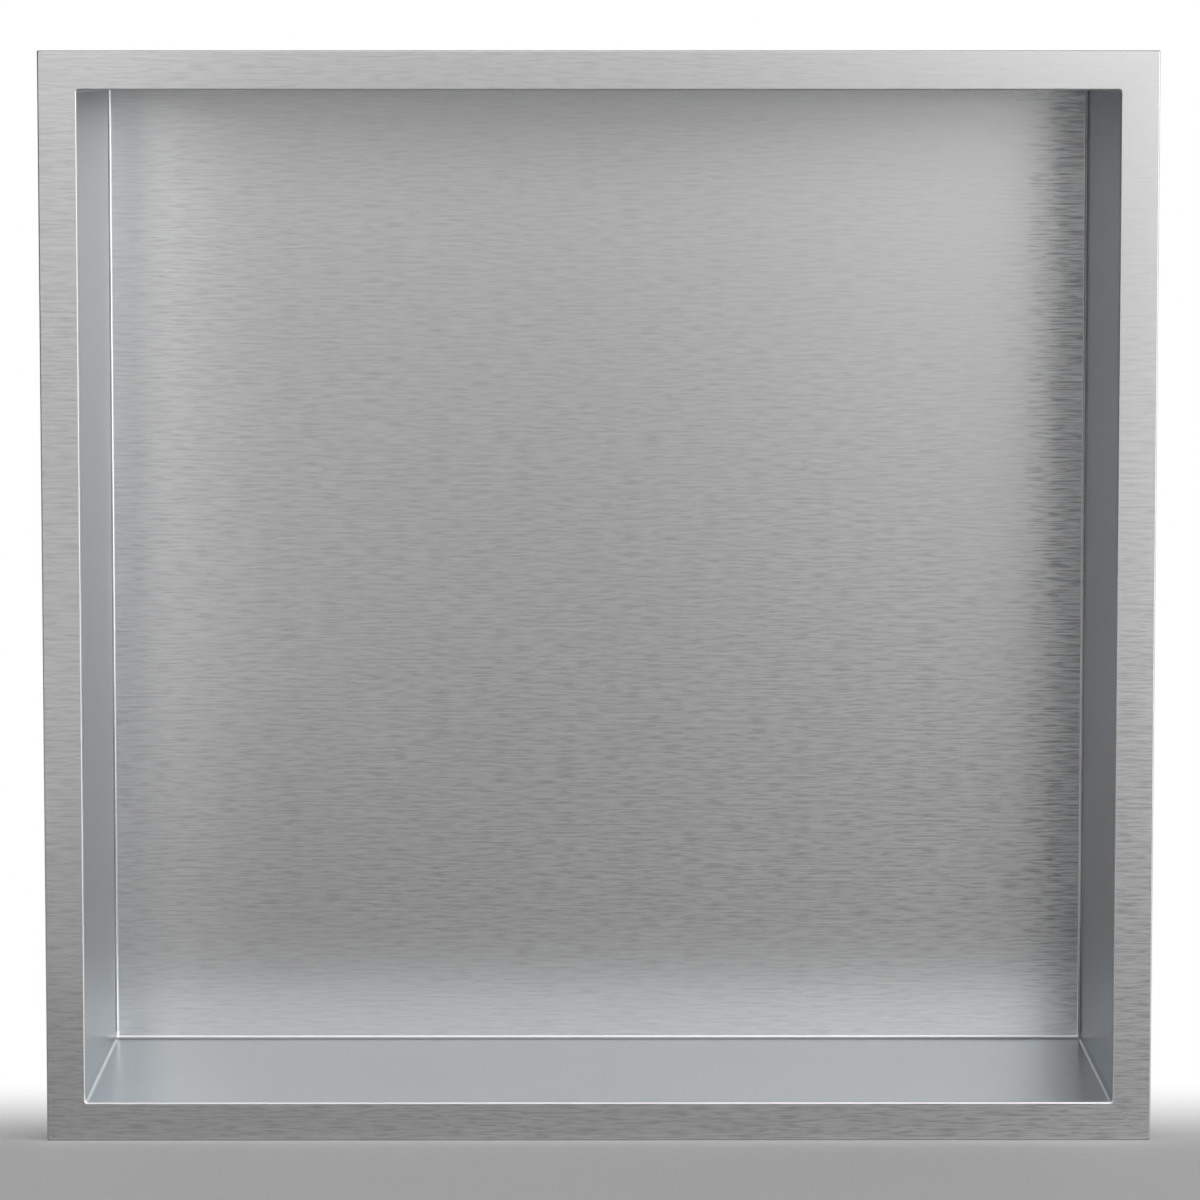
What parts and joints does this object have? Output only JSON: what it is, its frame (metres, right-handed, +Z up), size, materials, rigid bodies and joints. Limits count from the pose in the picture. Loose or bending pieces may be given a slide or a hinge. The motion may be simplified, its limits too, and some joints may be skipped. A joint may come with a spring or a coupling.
{
  "type": "shower niche insert",
  "caption": "Recessed wall niche folded from brushed stainless sheet: an open-fronted box with a flat trim flange, set into a tiled shower wall as a shelf.",
  "frame": {"origin": "centre of the niche on the face of the wall, which the rear of the flange lies against", "axes": "+Z up, +Y into the wall, so the niche opens towards -Y, and +X to the right seen from the front"},
  "size_m": [0.305, 0.101, 0.3],
  "materials": {
    "brushed_sheet": "stainless sheet with a fine horizontal brushed grain on the faces that show"
  },
  "bodies": {
    "root": {"niche_shell": "brushed_sheet"}
  },
  "joints": []
}
